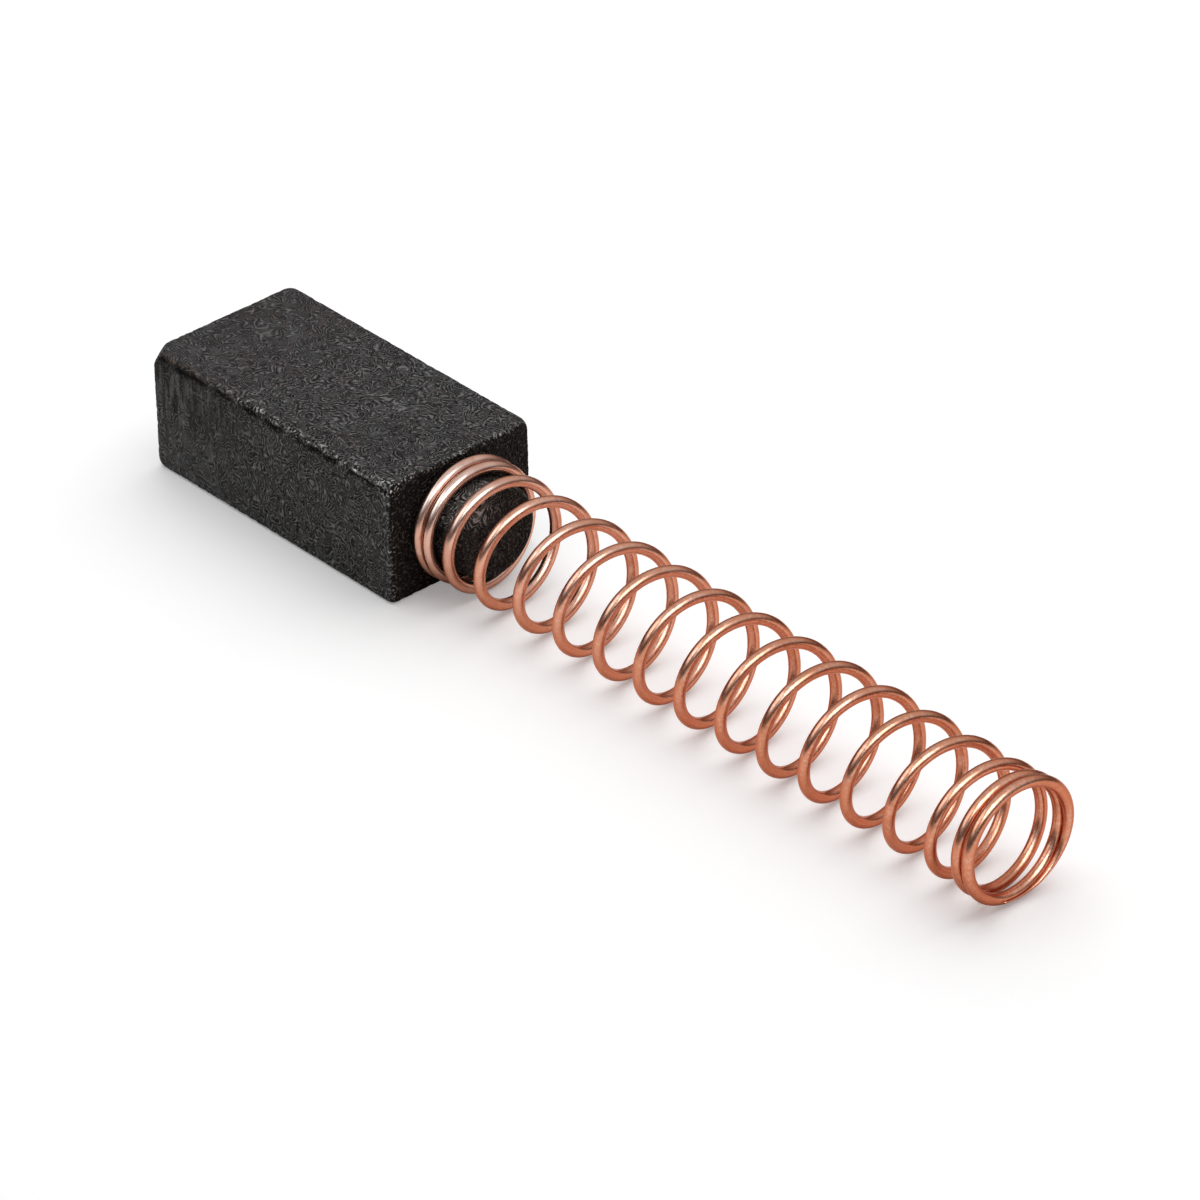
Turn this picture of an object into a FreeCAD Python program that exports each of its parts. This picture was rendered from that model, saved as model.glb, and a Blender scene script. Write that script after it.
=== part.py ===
import FreeCAD, Part
import math
import os
from FreeCAD import Vector

# Carbon brush: a pressed block of carbon graphite with a round spigot moulded on one end, and a coil spring
# pushed over that spigot. Everything is in millimetres. The block lies on its underside, +X runs along the
# spring away from the face that wears, and the origin is the middle of the block's underside.

# The block
block_length = 16.0
block_width = 8.0
block_height = 6.0
edge_radius = 0.25       # every long edge of the block is worn round
corner_wear = 0.6        # how far each corner is knocked back along its three edges

# The spigot that the spring sits on
spigot_length = 2.4
spigot_clearance = 0.03  # between the spigot's root and the first turn, all round
spigot_draft = 4.0       # degrees of taper, so that the block leaves its mould and the spring finds its seat
spigot_rim = 0.25        # bevel on the spigot's front edge

# The spring
wire_diameter = 0.53
coil_diameter = 5.83     # outside
active_pitch = 2.54      # from turn to turn where the coil is open
turn_count = 17.0
seated_turns = 0.9       # lie against each other at the block
free_end_turns = 1.1     # lie against each other at the free end
easing_turns = 2.35      # open gradually from closed to the active pitch
closed_gap = 0.02        # between turns that lie against each other
seat_gap = 0.01          # between the first turn and the end of the block
first_angle = 252.0      # degrees from +Y round to the wire's first end, seen along -X
taper_turns = 0.4        # over which the wire thins out at the free end, flush with the turn that it lies on
tip_share = 0.3          # of the wire's diameter is left at its tip

# The round wire is drawn with flat sides, which keeps its many turns light. It measures its own diameter
# across them.
wire_sides = 8
stations_per_turn = 7

coil_radius = (coil_diameter - wire_diameter) / 2
bore_radius = coil_diameter / 2 - wire_diameter
closed_pitch = wire_diameter + closed_gap
end_face = block_length / 2
axis_height = block_height / 2


def worn_block():
    """The pressed block: a bar with its corners knocked off and its edges worn round."""
    low = Vector(-block_length / 2, -block_width / 2, 0)
    bar = Part.makeBox(block_length, block_width, block_height, low)
    for vertex in list(bar.Vertexes):
        bar = bar.cut(corner_piece(vertex.Point))
    long_edges = [edge for edge in bar.Edges if edge.Length > 2 * corner_wear]
    return bar.makeFillet(edge_radius, long_edges)


def corner_piece(corner):
    """The piece that is missing at one corner, which has equal legs along the three edges."""
    middle = Vector(0, 0, axis_height)
    legs = []
    for along in (Vector(1, 0, 0), Vector(0, 1, 0), Vector(0, 0, 1)):
        inward = math.copysign(corner_wear, along.dot(middle - corner))
        legs.append(corner + along * inward)
    faces = [Part.Face(Part.makePolygon(legs + legs[:1]))]
    for first, second in zip(legs, legs[1:] + legs[:1]):
        faces.append(Part.Face(Part.makePolygon([corner, first, second, corner])))
    piece = Part.Solid(Part.makeShell(faces))
    if piece.Volume < 0:
        piece.reverse()
    return piece


def spigot():
    """The tapered stub on the end of the block. Its root starts inside the block, so that the two are one."""
    taper = math.tan(math.radians(spigot_draft))
    root_radius = bore_radius - spigot_clearance
    sunk = block_length / 4
    stub = Part.makeCone(
        root_radius + sunk * taper,
        root_radius - spigot_length * taper,
        sunk + spigot_length,
        Vector(end_face - sunk, 0, axis_height),
        Vector(1, 0, 0),
    )
    front = [edge for edge in stub.Edges if edge.BoundBox.XMin > end_face]
    return stub.makeChamfer(spigot_rim, front)


def travel(turns, closed_turns):
    """Travel along the axis over this many turns from one end, of which the first ones are closed."""
    share = min(max(turns - closed_turns, 0.0) / easing_turns, 1.0)
    fully_open = max(turns - closed_turns - easing_turns, 0.0)
    opened = easing_turns * (share ** 3 - share ** 4 / 2) + fully_open
    return closed_pitch * turns + (active_pitch - closed_pitch) * opened


def rise(turn):
    """Travel along the axis after this many turns. The second half is counted back from the free end."""
    half = turn_count / 2
    if turn > half:
        whole = travel(half, seated_turns) + travel(half, free_end_turns)
        return whole - travel(turn_count - turn, free_end_turns)
    return travel(turn, seated_turns)


def thickness(turn):
    """The wire's diameter, which falls off smoothly over the last part turn."""
    share = max(turn - turn_count + taper_turns, 0.0) / taper_turns
    return wire_diameter * (1 - (1 - tip_share) * share ** 2 * (3 - 2 * share))


def wire_point(turn, around):
    """A point on the wire's surface: around is its angle in the wire's own section, 0 on the outside."""
    # The angle falls as the turns rise, so the coil is left-handed.
    angle = math.radians(first_angle) - 2 * math.pi * turn
    outward = Vector(0, math.cos(angle), math.sin(angle))
    forward = Vector(0, math.sin(angle), -math.cos(angle))
    step = 0.001
    pitch = (rise(turn + step) - rise(turn - step)) / (2 * step)
    lean = math.atan2(pitch, 2 * math.pi * coil_radius)
    sideways = Vector(math.cos(lean), 0, 0) - forward * math.sin(lean)
    corner_radius = thickness(turn) / 2 / math.cos(math.pi / wire_sides)
    # Half a diameter of the wire as it is here, so that the taper lies against the turn before it.
    centre_x = end_face + seat_gap + rise(turn) + thickness(turn) / 2
    centre = Vector(centre_x, 0, axis_height) + outward * coil_radius
    return centre + (outward * math.cos(around) + sideways * math.sin(around)) * corner_radius


def corner_line(corner):
    """The line that one corner of the wire's section draws along all its turns."""
    around = 2 * math.pi * (corner + 0.5) / wire_sides
    stations = math.ceil(turn_count * stations_per_turn)
    turns = [turn_count * station / stations for station in range(stations + 1)]
    step = 0.001

    def slope(turn):
        return (wire_point(turn + step, around) - wire_point(turn - step, around)) / (2 * step)

    line = Part.BSplineCurve()
    line.interpolate(
        Points=[wire_point(turn, around) for turn in turns],
        Parameters=turns,
        InitialTangent=slope(0),
        FinalTangent=slope(turn_count),
        Scale=False,
    )
    return line


def wire_side(first, second):
    """One flat side of the wire: the strip between two neighbouring corner lines."""
    strip = Part.BSplineSurface()
    strip.buildFromPolesMultsKnots(
        [first.getPoles(), second.getPoles()],
        [2, 2],
        first.getMultiplicities(),
        [0.0, 1.0],
        first.getKnots(),
        False,
        False,
        1,
        first.Degree,
    )
    return strip.toShape()


def spring():
    """The bent wire: its sides along all the turns, and the square cut at each end."""
    lines = [corner_line(corner) for corner in range(wire_sides)]
    faces = [wire_side(first, second) for first, second in zip(lines, lines[1:] + lines[:1])]
    for end in (0, -1):
        corners = [line.getPoles()[end] for line in lines]
        faces.append(Part.Face(Part.makePolygon(corners + corners[:1])))
    shell = Part.makeShell(faces)
    shell.sewShape()
    wire = Part.Solid(shell)
    if wire.Volume < 0:
        wire.reverse()
    return wire


os.makedirs("parts", exist_ok=True)
worn_block().fuse(spigot()).removeSplitter().exportStep("parts/carbon_block.step")
spring().exportStep("parts/spring.step")
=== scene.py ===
import math
import random

import bpy
import numpy as np
from mathutils import Matrix, Vector, noise


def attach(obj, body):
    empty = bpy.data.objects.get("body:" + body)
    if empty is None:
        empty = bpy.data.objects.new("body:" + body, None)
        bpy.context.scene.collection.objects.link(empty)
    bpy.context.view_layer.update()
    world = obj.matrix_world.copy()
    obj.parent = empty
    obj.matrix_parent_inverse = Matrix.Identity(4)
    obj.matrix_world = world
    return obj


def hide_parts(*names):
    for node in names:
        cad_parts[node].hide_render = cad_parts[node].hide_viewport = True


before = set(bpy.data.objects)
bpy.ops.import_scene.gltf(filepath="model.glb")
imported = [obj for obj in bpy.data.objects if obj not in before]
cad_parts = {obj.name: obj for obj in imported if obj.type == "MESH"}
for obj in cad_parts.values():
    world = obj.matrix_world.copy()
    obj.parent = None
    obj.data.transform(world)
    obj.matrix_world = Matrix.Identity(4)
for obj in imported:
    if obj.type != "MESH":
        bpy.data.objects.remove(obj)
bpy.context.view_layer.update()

# The block: one bar of carbon and graphite powder, pressed in a die with the round spigot for the spring on
# its end, then baked hard. It is brittle, so its edges are chipped and worn and its corners knocked off.

mm = 0.001
block_length = 16.0 * mm
block_width = 8.0 * mm
block_height = 6.0 * mm
edge_round = 0.17 * mm
corner_leg = 0.4 * mm         # how far along its edges each corner is knocked off
corner_legs = {(-1, -1, 1): 0.85 * mm, (1, -1, -1): 0.3 * mm}
corner_easing = 0.08 * mm     # softens the rim of the place where a corner was
spigot_length = 2.4 * mm
spigot_root = 2.355 * mm      # radius where it leaves the end face
spigot_draft = math.radians(4.0)
spigot_rim = 0.3 * mm
spigot_sunk = 2.0 * mm        # starts this far inside the bar, so that the two become one skin
grain_mesh = 0.085 * mm       # the worn surface is modelled down to this size

bpy.ops.object.select_all(action="DESELECT")
bpy.ops.mesh.primitive_cube_add(size=1, location=(0, 0, block_height / 2))
block = bpy.context.object
block.name = "graphite_block"
bpy.ops.object.mode_set(mode="EDIT")
bpy.ops.transform.resize(value=(block_length, block_width, block_height))
bpy.ops.mesh.bevel(offset=edge_round, affect="EDGES", segments=4)
bpy.ops.object.mode_set(mode="OBJECT")
bpy.ops.object.transform_apply(location=True, rotation=True, scale=True)

bpy.ops.object.select_all(action="DESELECT")
bpy.ops.mesh.primitive_cone_add(
    vertices=96,
    radius1=spigot_root + spigot_sunk * math.tan(spigot_draft),
    radius2=spigot_root - spigot_length * math.tan(spigot_draft),
    depth=spigot_sunk + spigot_length,
    location=(block_length / 2 + (spigot_length - spigot_sunk) / 2, 0, block_height / 2),
    rotation=(0, math.pi / 2, 0),
)
spigot = bpy.context.object
bpy.ops.object.transform_apply(location=True, rotation=True, scale=True)
bpy.ops.object.mode_set(mode="EDIT")
bpy.ops.mesh.select_all(action="DESELECT")
bpy.ops.object.mode_set(mode="OBJECT")
spigot_front = block_length / 2 + spigot_length
for edge in spigot.data.edges:
    ends = [spigot.data.vertices[index].co for index in edge.vertices]
    edge.select = all(abs(end.x - spigot_front) < 0.01 * mm for end in ends)
bpy.ops.object.mode_set(mode="EDIT")
bpy.ops.mesh.select_mode(type="EDGE")
bpy.ops.mesh.bevel(offset=spigot_rim, affect="EDGES", segments=5)
bpy.ops.object.mode_set(mode="OBJECT")

block.select_set(True)
bpy.context.view_layer.objects.active = block
bpy.ops.object.join()
skin = block.modifiers.new("skin", "REMESH")
skin.mode = "VOXEL"
skin.voxel_size = grain_mesh
bpy.ops.object.modifier_apply(modifier=skin.name)


def read_points(mesh):
    """The vertices of a mesh as rows of x, y and z."""
    flat = np.empty(len(mesh.vertices) * 3)
    mesh.vertices.foreach_get("co", flat)
    return flat.reshape(-1, 3)


points = read_points(block.data)
half = np.array([block_length, block_width, block_height]) / 2
middle = np.array([0, 0, block_height / 2])
chance = random.Random(11)
rounded_off = edge_round * (math.sqrt(2) - 1)     # how far the round edge lies inside a sharp one
chip_spread = 0.86            # of half an edge each way, so that no chip falls on a corner
chip_slant = 0.35             # how much a chip faces along the edge


def chip_edge(along, signs, chips, radii, depths):
    """Break chips out of one edge, each a ball's cap. signs says on which side of the middle the edge lies."""
    across = [axis for axis in range(3) if axis != along]
    for _ in range(chips):
        place = middle.copy()
        for axis in across:
            place[axis] += signs[axis] * half[axis]
        place[along] += half[along] * chance.uniform(-chip_spread, chip_spread)
        tilt = chance.uniform(0.2, 0.8)
        inward = np.zeros(3)
        inward[across[0]] = -signs[across[0]] * tilt
        inward[across[1]] = -signs[across[1]] * (1 - tilt)
        inward[along] = chance.uniform(-chip_slant, chip_slant)
        inward /= np.linalg.norm(inward)
        radius = chance.uniform(*radii)
        depth = rounded_off + chance.uniform(*depths)
        centre = place - inward * (radius - depth)
        offset = points - centre
        distance = np.linalg.norm(offset, axis=1)
        inside = distance < radius
        points[inside] = centre + offset[inside] / distance[inside, None] * radius


# The long top edge towards the camera, the first one here, is the most broken.
crumbled_chips = {"radii": (0.12 * mm, 0.34 * mm), "depths": (0.01 * mm, 0.07 * mm)}
wide_chips = {"radii": (0.2 * mm, 0.5 * mm), "depths": (0.005 * mm, 0.03 * mm)}
middling_chips = {"radii": (0.15 * mm, 0.4 * mm), "depths": (0.005 * mm, 0.04 * mm)}
small_chips = {"radii": (0.12 * mm, 0.3 * mm), "depths": (0.005 * mm, 0.04 * mm)}
chip_edge(0, (0, -1, 1), 190, **crumbled_chips)
chip_edge(0, (0, 1, 1), 24, **wide_chips)
chip_edge(0, (0, -1, -1), 50, **middling_chips)
chip_edge(0, (0, 1, -1), 24, **wide_chips)
for end_side in (-1, 1):
    chip_edge(1, (end_side, 0, 1), 30, **small_chips)
    chip_edge(1, (end_side, 0, -1), 20, **middling_chips)
    for long_side in (-1, 1):
        chip_edge(2, (end_side, long_side, 0), 26, **small_chips)


def knock_off(signs, leg):
    """Knock one corner off along a slanted plane, with a soft rim."""
    depth = half - (points - middle) * signs        # how deep each point lies under the three faces
    short = (leg - depth.sum(axis=1)) / 3
    eased = (short + corner_easing) ** 2 / (4 * corner_easing)
    push = np.where(short > corner_easing, short, np.where(short > -corner_easing, eased, 0.0))
    on_spigot = (depth < -0.1 * mm).any(axis=1)
    push[on_spigot] = 0.0
    points[:] -= push[:, None] * signs


# The corners are worn off, the one on the end that wears and nearest the camera most of all.
for x_side in (-1, 1):
    for y_side in (-1, 1):
        for z_side in (-1, 1):
            signs = (x_side, y_side, z_side)
            knock_off(np.array(signs), corner_legs.get(signs, corner_leg))

# The long top edge towards the camera has crumbled. It is ragged, and a line is torn just under it on the side
# face. The wear also runs along the two edges that it meets at the spring's end, and comes and goes.
wear_patch = 0.5 * mm         # how long a patch of wear is
worn_corner = 0.8 * mm        # how far the wear reaches from the corner where the three edges meet
ragged_depth = 0.12 * mm      # how far the ragged edge falls back
ragged_reach = 0.5 * mm       # and how far from the edge
ragged_crumb = 0.22 * mm
ragged_swell = 0.6 * mm
tear_under_top = 0.36 * mm    # how far under the top face the torn line runs
tear_drift = 0.13 * mm        # how far it drifts up and down
tear_wave = 0.7 * mm
tear_ripple = 0.2 * mm
tear_patch = 0.9 * mm
tear_half_width = 0.19 * mm
tear_widening = 0.12 * mm     # added to that at the wearing end
tear_depth = 0.14 * mm
tear_reach = 0.25 * mm        # how far behind the side face it still shows
crumbled_height = 1.1 * mm    # everything ragged or torn lies within this height and depth of the edge
crumbled_depth = 0.6 * mm
end_margin = 0.05 * mm        # the end face keeps its plane

below = block_height - points[:, 2]
behind = points[:, 1] + block_width / 2
before_end = block_length / 2 - points[:, 0]
worn_and_glinting_edge = np.zeros(len(points))
torn_line_and_shade = np.zeros(len(points))


def wear_along(first, second, along, level, reach, seed):
    """Mark the wear, where a glint is also painted, near the edge where both distances, first and second, are
    0.
    """
    for index in np.flatnonzero((np.abs(first) < reach) & (np.abs(second) < reach)):
        distance = math.hypot(first[index], second[index])
        comes_and_goes = 0.6 + 0.9 * noise.noise(Vector((along[index] / wear_patch, seed, 0.0)))
        share = max(0.0, 1.0 - distance / reach) * min(max(comes_and_goes, 0.0), 1.0)
        worn_and_glinting_edge[index] = max(worn_and_glinting_edge[index], min(1.0, 1.6 * share) * level)


wear_along(below, behind, points[:, 0], level=1.0, reach=0.36 * mm, seed=0.0)
wear_along(before_end, below, points[:, 1], level=0.45, reach=0.3 * mm, seed=5.0)
wear_along(before_end, behind, points[:, 2], level=0.5, reach=0.34 * mm, seed=9.0)
from_corner = np.sqrt(below ** 2 + behind ** 2 + before_end ** 2)
worn_and_glinting_edge = np.maximum(worn_and_glinting_edge, np.clip(1.3 - from_corner / worn_corner, 0, 1))

crumbled_zone = (below < crumbled_height) & (behind < crumbled_depth) & (before_end > end_margin)
for index in np.flatnonzero(crumbled_zone):
    place = Vector(points[index])
    nearness = max(0.0, 1.0 - math.hypot(below[index], behind[index]) / ragged_reach)
    ragged = 0.5 + 0.5 * noise.noise(place / ragged_crumb) + 0.5 * noise.noise(place / ragged_swell)
    fall_back = Vector((0, 1, -1)).normalized() * (ragged_depth * max(0.0, ragged) * nearness)
    wave = noise.noise(Vector((place.x / tear_wave, 0.0, 0.0)))
    ripple = noise.noise(place / tear_ripple)
    line = tear_under_top + tear_drift * (wave + 0.5 * ripple)
    wearing_share = min(max(0.5 - place.x / block_length, 0.0), 1.0)
    patch = noise.noise(Vector((place.x / tear_patch, 3.0, 0.0)))
    strength = min(max(0.55 + 0.4 * wearing_share + 1.3 * patch, 0.0), 1.0)
    width = tear_half_width + tear_widening * wearing_share
    share = max(0.0, 1.0 - abs(below[index] - line) / width) * max(0.0, 1.0 - behind[index] / tear_reach)
    torn_line_and_shade[index] = min(1.0, 1.5 * share) * strength
    points[index] = place + fall_back + Vector((0, tear_depth * share * strength, 0))

block.data.vertices.foreach_set("co", points.ravel())
block.data.update()

# The faces are never quite flat: the grains of the pressed powder stand out of them.
swell_size = 1.3 * mm
grain_size = 0.28 * mm
unevenness = 0.014 * mm       # of the swells, and as much again of the grains
normals = np.empty(len(block.data.vertices) * 3)
block.data.vertices.foreach_get("normal", normals)
normals = normals.reshape(-1, 3)
sunk = np.empty(len(points))
for index, point in enumerate(points):
    swell = noise.noise(Vector(point) / swell_size)
    grain = noise.noise(Vector(point) / grain_size)
    sunk[index] = unevenness * (1.0 - 0.5 * swell - 0.5 * grain)
points -= normals * sunk[:, None]
block.data.vertices.foreach_set("co", points.ravel())
block.data.update()

# How far each place stands out from its surroundings, so that the recesses can be painted darker, as painted
# shade.
edges = np.empty(len(block.data.edges) * 2, dtype=int)
block.data.edges.foreach_get("vertices", edges)
edges = edges.reshape(-1, 2)
surroundings = points
for _ in range(4):
    total = surroundings.copy()
    count = np.ones(len(points))
    for first, second in (edges.T, edges.T[::-1]):
        np.add.at(total, first, surroundings[second])
        np.add.at(count, first, 1)
    surroundings = total / count[:, None]
block.data.vertices.foreach_get("normal", normals.ravel())
stands_out = np.einsum("ij,ij->i", points - surroundings, normals) / mm
for name, values in (("stands_out", stands_out), ("worn_and_glinting_edge", worn_and_glinting_edge), ("torn_line_and_shade", torn_line_and_shade)):
    attribute = block.data.attributes.new(name, "FLOAT", "POINT")
    attribute.data.foreach_set("value", values)
bpy.ops.object.shade_smooth()


def linear(code):
    """The linear colour of an sRGB hex code."""
    channels = [int(code[place:place + 2], 16) / 255 for place in (1, 3, 5)]
    return [c / 12.92 if c <= 0.04045 else ((c + 0.055) / 1.055) ** 2.4 for c in channels] + [1.0]


def add_node(tree, kind, inputs=None, **settings):
    """Add a node, set it up and give its inputs a value or another node's output."""
    made = tree.nodes.new(kind)
    for name, value in settings.items():
        setattr(made, name, value)
    for name, value in (inputs or {}).items():
        if isinstance(value, bpy.types.NodeSocket):
            tree.links.new(value, made.inputs[name])
        else:
            made.inputs[name].default_value = value
    return made


def new_material(name):
    """A material with an empty node tree."""
    made = bpy.data.materials.new(name)
    made.use_nodes = True
    made.node_tree.nodes.clear()
    return made, made.node_tree


# The next four add nodes to the tree that is being made. The first two also read in_mm, a place in it.
def patches(to_a_mm, low, high, detail=2.0, stretch=(1, 1, 1), seed=0.0):
    """Blotches of this many to a millimetre: 0 under the low level of the noise and 1 over the high one."""
    vector = add_node(tree, "ShaderNodeVectorMath", {
        0: in_mm, 1: stretch, 2: (seed,) * 3,
    }, operation="MULTIPLY_ADD").outputs[0]
    waves = add_node(tree, "ShaderNodeTexNoise", {"Vector": vector, "Scale": to_a_mm, "Detail": detail})
    return add_node(tree, "ShaderNodeMapRange", {
        "Value": waves.outputs["Fac"], "From Min": low, "From Max": high,
    }, interpolation_type="SMOOTHSTEP").outputs[0]


def curls(swings_to_a_mm, strokes_to_a_swing, seed):
    """Curled strokes, from -1 in a gap to 1 on a crest: the height lines of a slow noise."""
    shifted = add_node(tree, "ShaderNodeVectorMath", {0: in_mm, 1: (seed, -seed, seed / 2)}, operation="ADD")
    waves = add_node(tree, "ShaderNodeTexNoise", {
        "Vector": shifted.outputs[0], "Scale": swings_to_a_mm, "Detail": 0.5, "Roughness": 0.35,
        "Distortion": 0.3,
    })
    phase = add_node(tree, "ShaderNodeMath", {
        0: waves.outputs["Fac"], 1: 2 * math.pi * strokes_to_a_swing,
    }, operation="MULTIPLY").outputs[0]
    return add_node(tree, "ShaderNodeMath", {0: phase}, operation="SINE").outputs[0]


def only_where(pattern, *places):
    """A pattern held back to where all of these places are. A place can be a plain share too."""
    for place in places:
        pattern = add_node(tree, "ShaderNodeMath", {0: pattern, 1: place}, operation="MULTIPLY").outputs[0]
    return pattern


def coated(colour, *coats):
    """A colour with others laid over it in turn, each with the share that it covers."""
    for share, over in coats:
        over = linear(over) if isinstance(over, str) else over
        colour = add_node(tree, "ShaderNodeMix", {0: share, 6: colour, 7: over}, data_type="RGBA").outputs[2]
    return colour


# Sintered carbon graphite: the eye sees a dry, charcoal surface covered with fine curled strokes, where flakes
# of graphite lie every way, each a pale crest beside a dark gap. A glint is painted on the crumbled edge.
graphite, tree = new_material("sintered_carbon_graphite")
place = add_node(tree, "ShaderNodeTexCoord").outputs["Object"]
in_mm = add_node(tree, "ShaderNodeVectorMath", {0: place, 1: (1 / mm,) * 3}, operation="MULTIPLY").outputs[0]
axes = add_node(tree, "ShaderNodeSeparateXYZ", {0: in_mm}).outputs
mark = {}
for name in ("stands_out", "worn_and_glinting_edge", "torn_line_and_shade"):
    mark[name] = add_node(tree, "ShaderNodeAttribute", attribute_name=name).outputs["Fac"]

# Two lots of curls, each only in its own patches, so that the strokes lie in tufts.
strokes = 0.0
for curl, tuft in (
    (curls(1.2, 12.0, seed=0.0), patches(2.0, 0.38, 0.52, detail=1.0, seed=1.0)),
    (curls(1.7, 9.5, seed=7.3), patches(2.6, 0.44, 0.58, seed=4.0)),
):
    strokes = add_node(tree, "ShaderNodeMath", {
        0: curl, 1: tuft, 2: strokes,
    }, operation="MULTIPLY_ADD").outputs[0]

# Each row says what the mask reads, and where that makes it 0 and where 1. The places are in millimetres.
mask = {}
for name, source, start, full in (
    ("crests", strokes, 0.3, 1.1),
    ("gaps", strokes, -0.2, -1.1),
    ("shaded_hollows", mark["stands_out"], -0.005, -0.025),
    ("top_face", axes["Z"], 5.88, 5.98),
    ("side_face", axes["Y"], -3.88, -3.98),
    ("end_face", axes["X"], 7.86, 7.96),
    ("spigot_skin", axes["X"], 8.1, 8.3),
    ("spigot_top", axes["Z"], 3.4, 4.6),
    ("spigot_left", axes["Y"], 0.6, -1.0),
    ("wearing_end", axes["X"], 0.0, -6.0),
    ("wearing_half", axes["X"], 0.0, -2.5),
    ("off_the_table", axes["Z"], 1.2, 3.6),
    ("under_top_edge", axes["Z"], 3.0, 4.4),
):
    mask[name] = add_node(tree, "ShaderNodeMapRange", {
        "Value": source, "From Min": start, "From Max": full,
    }, interpolation_type="SMOOTHSTEP").outputs[0]
scratched = only_where(mask["side_face"], mask["under_top_edge"], mask["wearing_half"])
# The spigot's upper left side, where a highlight is painted.
spigot_highlight = only_where(mask["spigot_skin"], mask["spigot_top"], mask["spigot_left"])
top_or_end = add_node(tree, "ShaderNodeMath", {
    0: mask["end_face"], 1: mask["top_face"],
}, operation="ADD").outputs[0]

# The crumbs on the worn edge are painted as if they glint: pale dots at the spring's end and dull lumps at the
# wearing end. Specks in the faces are painted glinting too, more faintly on the top and the end.
dots = patches(8.5, 0.60, 0.66, detail=0.0, seed=6.0)
crumbs = patches(4.2, 0.50, 0.60, detail=0.0, seed=8.0)
specks = patches(7.5, 0.60, 0.68, detail=0.0, seed=2.0)
speck_share = add_node(tree, "ShaderNodeMapRange", {
    "Value": top_or_end, "To Min": 0.14, "To Max": 0.08,
}, interpolation_type="SMOOTHSTEP").outputs[0]
crumbled = add_node(tree, "ShaderNodeMix", {
    0: mask["wearing_end"], 2: dots, 3: only_where(crumbs, 0.45),
}).outputs[0]
painted_glints = add_node(tree, "ShaderNodeMath", {
    0: crumbled, 1: mark["worn_and_glinting_edge"], 2: only_where(specks, speck_share),
}, operation="MULTIPLY_ADD").outputs[0]

# Each row says what the value is off the mask, and what on it. The strokes are fainter where it is worn.
level = {}
for name, source, off_it, on_it in (
    ("unworn", mask["wearing_end"], 1.0, 0.7),
    ("unscratched", scratched, 1.0, 0.55),
    ("gap_share", mask["top_face"], 0.9, 0.8),
    ("crest_share", mask["top_face"], 0.8, 0.5),
    ("relief_share", mask["top_face"], 1.0, 0.8),
    ("dry_top", mask["top_face"], 0.0, 0.25),
    ("glinting", painted_glints, 0.6, 0.4),
):
    level[name] = add_node(tree, "ShaderNodeMapRange", {
        "Value": source, "To Min": off_it, "To Max": on_it,
    }, interpolation_type="SMOOTHSTEP").outputs[0]
clearness = only_where(level["unworn"], level["unscratched"])

# The end face and the spigot are painted nearly black and brown, the spigot a little less dark: partly their
# own darker pressed skin, partly painted shade, as they face away from the lamps, with a painted reflection of
# the copper. A highlight is painted on the spigot's upper left side, which the light catches.
dark_shaded_end = coated(
    linear("#1e1714"),
    (only_where(mask["spigot_skin"], patches(1.3, 0.35, 0.65)), "#332e2b"),
    (only_where(spigot_highlight, 0.9), "#5c5856"),
)
pale_end = coated(linear("#2c2420"), (mask["spigot_skin"], "#4e4843"), (spigot_highlight, "#d8d4d2"))
pale = coated(linear("#8e8d8b"), (mask["end_face"], pale_end))
painted_glint_colour = coated(linear("#f6f1ec"), (mask["wearing_end"], "#8d7868"))
streaks = patches(1.0, 0.47, 0.55, stretch=(3.8, 1.0, 0.45))
scratches = patches(1.0, 0.46, 0.56, detail=1.0, stretch=(6.5, 1.0, 0.55), seed=5.0)
lumps = patches(2.6, 0.56, 0.64, detail=0.0, seed=10.0)
colour = coated(
    linear("#515253"),
    (patches(0.5, 0.35, 0.65), "#4b4b4b"),
    # The top face is painted darker, as painted shade, against the light that falls on it from above.
    (only_where(patches(0.5, 0.3, 0.7), mask["top_face"]), "#423e3f"),
    (only_where(mask["top_face"], 0.5), "#423e3f"),
    (only_where(mask["side_face"], mask["wearing_end"]), "#606162"),
    (only_where(patches(1.4, 0.42, 0.58, detail=1.0, seed=11.0), 0.5), "#303030"),
    (only_where(patches(1.9, 0.55, 0.7), 0.45), "#4e4540"),
    (mask["end_face"], dark_shaded_end),
    (only_where(mask["gaps"], clearness, level["gap_share"]), "#131212"),
    # Painted shade in the recesses.
    (mask["shaded_hollows"], "#0d0b0a"),
    (only_where(streaks, mask["side_face"], mask["wearing_end"], mask["off_the_table"], 0.85), "#131313"),
    (only_where(scratches, scratched, 0.75), "#121111"),
    (only_where(mask["crests"], clearness, level["crest_share"]), pale),
    # The torn line is painted near black, as painted shade in the tear.
    (mark["torn_line_and_shade"], "#080707"),
    # Brownish lumps on the worn edge at the wearing end: their own colour, and partly painted light where they
    # catch it.
    (only_where(lumps, mark["worn_and_glinting_edge"], mask["wearing_end"], 0.6), "#6d5f55"),
    # The painted glint colour, over the crumbs and the specks.
    (only_where(painted_glints, 0.9), painted_glint_colour),
)

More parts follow.
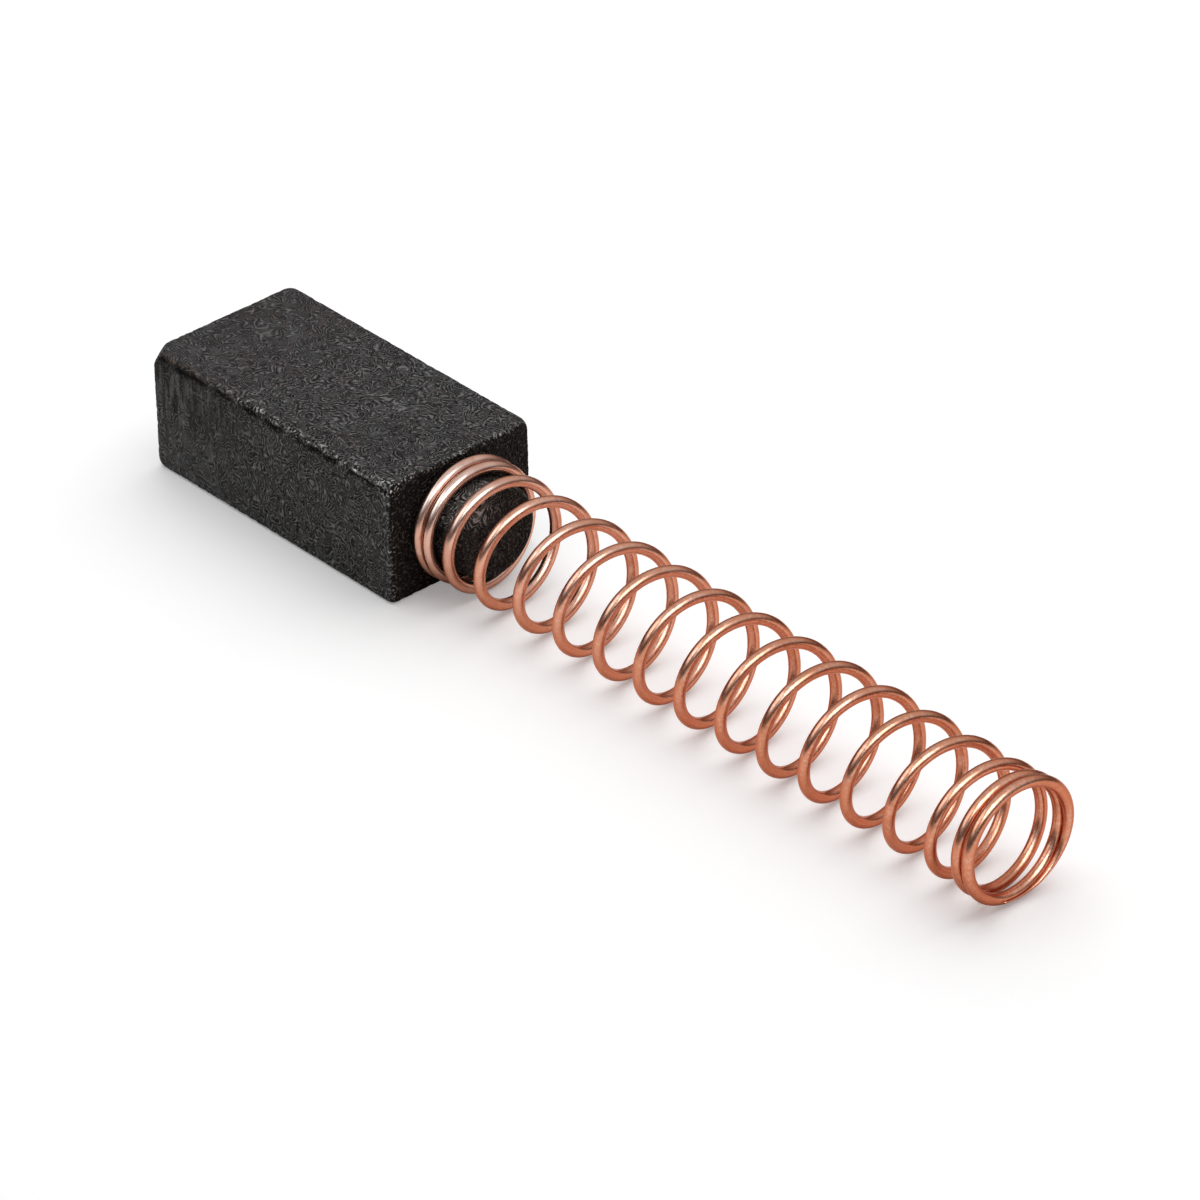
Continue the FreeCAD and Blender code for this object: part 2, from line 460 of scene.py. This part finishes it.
relief = add_node(tree, "ShaderNodeMath", {
    0: strokes, 1: patches(6.0, 0.3, 0.7, seed=3.0),
}, operation="ADD").outputs[0]
relief = only_where(relief, clearness, level["relief_share"])
bump = add_node(tree, "ShaderNodeBump", {"Height": relief, "Strength": 1.0, "Distance": 0.05 * mm})
roughness = add_node(tree, "ShaderNodeMath", {0: level["glinting"], 1: level["dry_top"]}, operation="ADD")
shader = add_node(tree, "ShaderNodeBsdfPrincipled", {
    "Base Color": colour, "Roughness": roughness.outputs[0], "Normal": bump.outputs[0],
    "Metallic": only_where(painted_glints, 0.2), "IOR": 1.45, "Specular IOR Level": 0.11,
})
add_node(tree, "ShaderNodeOutputMaterial", {"Surface": shader.outputs[0]})
block.data.materials.clear()
block.data.materials.append(graphite)

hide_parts("carbon_block")
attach(block, "root")

# The spring: one length of bright drawn copper wire, wound left-handed on a mandrel, with its end turns
# closed against each other and cut off plain. Its first turn is pushed on over the spigot as far as the block.

wire_diameter = 0.53 * mm
coil_diameter = 5.83 * mm
active_pitch = 2.54 * mm
turn_count = 17.0
seated_turns = 0.9            # lie against each other at the block
free_end_turns = 1.1          # lie against each other at the free end
easing_turns = 2.35           # open gradually from closed to the active pitch
closed_gap = 0.02 * mm
first_angle = math.radians(252.0)
taper_turns = 0.4             # over which the wire thins out against the turn before it
tip_share = 0.12              # of the wire's diameter is left at its tip
third_turn = 2.2              # where the third turn stands off most, in turns from the block
third_turn_spread = 0.5
third_turn_stands_off = 0.2 * mm
end_turns_spread = 1.2
end_turns_wider = 0.07 * mm
closed_pitch = wire_diameter + closed_gap
coil_radius = (coil_diameter - wire_diameter) / 2
axis_height = block_height / 2
stations_per_turn = 90
wire_sides = 28


def travel(turns, closed_turns):
    """Travel along the axis over this many turns from one end, of which the first ones are closed."""
    share = min(max(turns - closed_turns, 0.0) / easing_turns, 1.0)
    fully_open = max(turns - closed_turns - easing_turns, 0.0)
    opened = easing_turns * (share ** 3 - share ** 4 / 2) + fully_open
    return closed_pitch * turns + (active_pitch - closed_pitch) * opened


def rise(turn):
    """Travel along the axis after this many turns. The second half is counted back from the free end."""
    half_way = turn_count / 2
    if turn > half_way:
        whole = travel(half_way, seated_turns) + travel(half_way, free_end_turns)
        return whole - travel(turn_count - turn, free_end_turns)
    return travel(turn, seated_turns)


def thickness_share(turn):
    """The wire's thickness as a share of its full diameter, which falls off over the last part turn."""
    share = max(turn - turn_count + taper_turns, 0.0) / taper_turns
    return 1 - (1 - tip_share) * share ** 2 * (3 - 2 * share)


# The wire's section is turned round the axis into an even coil, and its turns are then let out to their own
# pitch. It starts on the outside of the coil at the wire's first end.
bpy.ops.object.select_all(action="DESELECT")
bpy.ops.mesh.primitive_circle_add(
    vertices=wire_sides,
    radius=wire_diameter / 2,
    location=(0, coil_radius, 0),
    rotation=(0, 0, 0),
)
spring = bpy.context.object
spring.name = "copper_spring"
bpy.ops.object.transform_apply(location=True, rotation=True, scale=True)
wound = spring.modifiers.new("wound", "SCREW")
wound.axis = "X"
wound.angle = -2 * math.pi * turn_count
wound.screw_offset = 0
wound.steps = math.ceil(turn_count * stations_per_turn)
wound.render_steps = wound.steps
wound.use_merge_vertices = False
bpy.ops.object.modifier_apply(modifier=wound.name)

points = read_points(spring.data)
stations = len(points) // wire_sides
station_turns = np.linspace(0, turn_count, stations)
turns = np.repeat(station_turns, wire_sides)
thickness = np.repeat([thickness_share(turn) for turn in station_turns], wire_sides)
centre_x = np.repeat([rise(turn) for turn in station_turns], wire_sides) + thickness * wire_diameter / 2
# The third turn stands off a little further than its pitch has it, and the end turns are a little wider.
centre_x += third_turn_stands_off * np.exp(-((turns - third_turn) / third_turn_spread) ** 2)
at_the_block = np.exp(-(turns / end_turns_spread) ** 2)
at_the_free_end = np.exp(-((turn_count - turns) / end_turns_spread) ** 2)
ring_radius = coil_radius + end_turns_wider * (at_the_block + at_the_free_end)
outward = (np.hypot(points[:, 1], points[:, 2]) - coil_radius) * thickness
sideways = points[:, 0] * thickness
angle = first_angle - 2 * np.pi * turns
points = np.stack([
    block_length / 2 + centre_x + sideways,
    (ring_radius + outward) * np.cos(angle),
    axis_height + (ring_radius + outward) * np.sin(angle),
], axis=1)
spring.data.vertices.foreach_set("co", points.ravel())

# The wire laid out straight, for the marks that drawing leaves along it.
along = turns * 2 * np.pi * coil_radius
straight = np.stack([along, outward, sideways], axis=1) / mm
straight_attribute = spring.data.attributes.new("straight_wire", "FLOAT_VECTOR", "POINT")
straight_attribute.data.foreach_set("vector", straight.ravel())

bpy.ops.object.mode_set(mode="EDIT")
bpy.ops.mesh.select_mode(type="EDGE")
bpy.ops.mesh.select_all(action="DESELECT")
bpy.ops.mesh.select_non_manifold()
bpy.ops.mesh.fill()
bpy.ops.mesh.select_all(action="SELECT")
bpy.ops.mesh.normals_make_consistent(inside=False)
bpy.ops.object.mode_set(mode="OBJECT")
bpy.ops.object.shade_smooth()

# Bright drawn copper: a pink metal with soft broad highlights, drawn out by faint lines along the wire, with
# a first touch of tarnish that turns it more orange towards the free end. The die's lines are too fine to
# show, so they are drawn about 0.07 mm apart. Light is also painted into its colour: paler where the wire
# faces the camera and on the first turns by the block, a painted highlight, and darker and redder at its rims,
# a painted reflection of the dark room and of the turns beside it.
copper, tree = new_material("bright_drawn_copper")
wire = add_node(tree, "ShaderNodeAttribute", attribute_name="straight_wire").outputs["Vector"]
place = add_node(tree, "ShaderNodeTexCoord").outputs["Object"]
in_mm = add_node(tree, "ShaderNodeVectorMath", {0: place, 1: (1 / mm,) * 3}, operation="MULTIPLY").outputs[0]
along_spring = add_node(tree, "ShaderNodeSeparateXYZ", {0: in_mm}).outputs["X"]
to_free_end = add_node(tree, "ShaderNodeMapRange", {
    "Value": along_spring, "From Min": 9.0, "From Max": 26.0,
}).outputs[0]
facing = add_node(tree, "ShaderNodeLayerWeight", {"Blend": 0.45}).outputs["Facing"]
mask = {}
for name, source, start, full in (
    ("near_block", along_spring, 12.5, 9.2),
    ("rim_near_block", along_spring, 12.0, 9.0),
    ("turned_away", facing, 0.03, 0.6),
):
    mask[name] = add_node(tree, "ShaderNodeMapRange", {
        "Value": source, "From Min": start, "From Max": full,
    }, interpolation_type="SMOOTHSTEP").outputs[0]
drawn_vector = add_node(tree, "ShaderNodeVectorMath", {0: wire, 1: (0.35, 14.0, 14.0)}, operation="MULTIPLY")
drawn = add_node(tree, "ShaderNodeTexNoise", {
    "Vector": drawn_vector.outputs[0], "Scale": 1.0, "Detail": 2.0,
}).outputs["Fac"]
faced = coated(
    linear("#eebda8"),
    (to_free_end, "#e6a688"),
    # The first turns by the block are painted paler, a painted highlight.
    (mask["near_block"], "#f3d6ca"),
    (only_where(patches(6.5, 0.52, 0.62, detail=0.0, seed=9.0), 0.4), "#f4d6c8"),
)
rim = coated(linear("#d0835f"), (to_free_end, "#c86d45"), (mask["rim_near_block"], "#dba48c"))
colour = coated(
    faced,
    # Darker and redder where the wire turns away, a painted reflection of the dark room and of the turns
    # beside it.
    (mask["turned_away"], rim),
    (only_where(patches(0.45, 0.45, 0.7), 0.5), "#c98363"),
    (only_where(patches(2.5, 0.55, 0.75), 0.35), "#b06d52"),
)
gloss = add_node(tree, "ShaderNodeMapRange", {
    "Value": drawn, "From Min": 0.3, "From Max": 0.7, "To Min": 0.23, "To Max": 0.30,
}).outputs[0]
bump = add_node(tree, "ShaderNodeBump", {"Height": drawn, "Strength": 0.11, "Distance": 0.01 * mm})
shader = add_node(tree, "ShaderNodeBsdfPrincipled", {
    "Base Color": colour, "Metallic": 1.0, "Roughness": gloss, "Normal": bump.outputs[0],
})
add_node(tree, "ShaderNodeOutputMaterial", {"Surface": shader.outputs[0]})
spring.data.materials.append(copper)

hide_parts("spring")
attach(spring, "root")

# The table, the lamps and the camera. The block lies on a white table under one large soft box. Two smaller
# ones, to the front and the left, are seen only by reflections and give the highlights on the wire.

floor_size = 4.0
bpy.ops.object.select_all(action="DESELECT")
bpy.ops.mesh.primitive_plane_add(size=floor_size, location=(0, 0, 0))
floor = bpy.context.object
floor.name = "white_table"

# White card. The camera gets a little more light from it than it throws on the part, which brings it to full
# white. The wire mirrors it as pale close by and dark further off, like a card of limited size.
mirrored_middle = (18 * mm, 12 * mm, 0)
mirrored_near = 26 * mm
mirrored_far = 58 * mm
paper, tree = new_material("white_card")
path = add_node(tree, "ShaderNodeLightPath").outputs
place = add_node(tree, "ShaderNodeTexCoord").outputs["Object"]
from_middle = add_node(tree, "ShaderNodeVectorMath", {
    0: place, 1: mirrored_middle,
}, operation="SUBTRACT").outputs[0]
shortened = add_node(tree, "ShaderNodeVectorMath", {
    0: from_middle, 1: (0.5, 1.0, 1.0),
}, operation="MULTIPLY").outputs[0]
away = add_node(tree, "ShaderNodeVectorMath", {0: shortened}, operation="LENGTH").outputs["Value"]
far_off = add_node(tree, "ShaderNodeMapRange", {
    "Value": away, "From Min": mirrored_near, "From Max": mirrored_far,
}, interpolation_type="SMOOTHSTEP").outputs[0]
mirrored = coated(linear("#f9ebe2"), (far_off, "#33221c"))
shade = coated(linear("#e8e8e8"), (path["Is Glossy Ray"], mirrored))
card = add_node(tree, "ShaderNodeBsdfDiffuse", {"Color": shade})
lift = add_node(tree, "ShaderNodeEmission", {
    "Color": linear("#ffffff"), "Strength": only_where(path["Is Camera Ray"], 0.25),
})
both = add_node(tree, "ShaderNodeAddShader", {0: card.outputs[0], 1: lift.outputs[0]})
add_node(tree, "ShaderNodeOutputMaterial", {"Surface": both.outputs[0]})
floor.data.materials.append(paper)

subject = Vector((14 * mm, 0, 3 * mm))
cool_white = (0.82, 0.95, 1.0)


def add_softbox(name, azimuth, elevation, distance, width, height, watts):
    """A soft box that faces the subject from this direction, in degrees from +X and above the table."""
    bearing = math.radians(azimuth)
    above = math.radians(elevation)
    back = Vector((math.cos(bearing) * math.cos(above), math.sin(bearing) * math.cos(above), math.sin(above)))
    bpy.ops.object.light_add(type="AREA", location=subject + back * distance)
    lamp = bpy.context.object
    lamp.name = name
    lamp.rotation_euler = back.to_track_quat("Z", "Y").to_euler()
    lamp.data.shape = "RECTANGLE"
    lamp.data.size = width
    lamp.data.size_y = height
    lamp.data.energy = watts
    return lamp


overhead_softbox = add_softbox(
    "overhead_softbox", 115, 70, distance=0.55, width=0.88, height=0.88, watts=4.35,
)
overhead_softbox.visible_glossy = False
front_softbox = add_softbox("front_softbox", -25, 45, distance=0.50, width=0.38, height=0.33, watts=1.35)
left_softbox = add_softbox("left_softbox", -112, 36, distance=0.50, width=0.44, height=0.28, watts=0.55)
for lamp in (front_softbox, left_softbox):
    lamp.visible_diffuse = False
    lamp.data.color = cool_white

# The room is dark near the table and grey above, a little sooner behind the part. The wire mirrors it brighter
# than it lights the part.
world = bpy.data.worlds.new("studio_room")
bpy.context.scene.world = world
world.use_nodes = True
tree = world.node_tree
tree.nodes.clear()
direction = add_node(tree, "ShaderNodeTexCoord").outputs["Generated"]
looks = add_node(tree, "ShaderNodeSeparateXYZ", {0: direction}).outputs
raised_behind = add_node(tree, "ShaderNodeMapRange", {
    "Value": looks["Y"], "From Min": 0.2, "From Max": 0.9, "To Max": 0.12,
}, interpolation_type="SMOOTHSTEP").outputs[0]
height = add_node(tree, "ShaderNodeMath", {0: looks["Z"], 1: raised_behind}, operation="ADD").outputs[0]
up_share = add_node(tree, "ShaderNodeMapRange", {
    "Value": height, "From Min": 0.08, "From Max": 0.7,
}, interpolation_type="SMOOTHSTEP").outputs[0]
room = coated(linear("#27181a"), (up_share, "#8a8a8a"))
glossy = add_node(tree, "ShaderNodeLightPath").outputs["Is Glossy Ray"]
brightness = add_node(tree, "ShaderNodeMapRange", {"Value": glossy, "To Min": 1.0, "To Max": 2.8}).outputs[0]
sky = add_node(tree, "ShaderNodeBackground", {"Color": room, "Strength": brightness})
add_node(tree, "ShaderNodeOutputWorld", {"Surface": sky.outputs[0]})

# The camera stands far off with a long lens, up and to the right of the block's end. view_foot, the block's
# lower front corner, lies view_right to the left of the picture's middle and view_up below it.
view_yaw = math.radians(-40.823)
view_pitch = math.radians(32.53)
view_roll = math.radians(-1.396)
view_angle = math.radians(8.0)
view_distance = 368.15 * mm
view_right = 8.899 * mm
view_up = 0.275 * mm
view_foot = Vector((8 * mm, -4 * mm, 0))
back = Vector((
    math.cos(view_yaw) * math.cos(view_pitch),
    math.sin(view_yaw) * math.cos(view_pitch),
    math.sin(view_pitch),
))
level_right = Vector((0, 0, 1)).cross(back).normalized()
level_up = back.cross(level_right)
right = level_right * math.cos(view_roll) + level_up * math.sin(view_roll)
up = level_up * math.cos(view_roll) - level_right * math.sin(view_roll)
eye = view_foot + back * view_distance + right * view_right + up * view_up
bpy.ops.object.camera_add()
camera = bpy.context.object
camera.matrix_world = Matrix.Translation(eye) @ Matrix((right, up, back)).transposed().to_4x4()
camera.data.sensor_fit = "HORIZONTAL"
camera.data.angle = view_angle
camera.data.clip_start = 0.01
camera.data.clip_end = 20.0
bpy.context.scene.camera = camera
bpy.context.scene.view_settings.view_transform = "Standard"
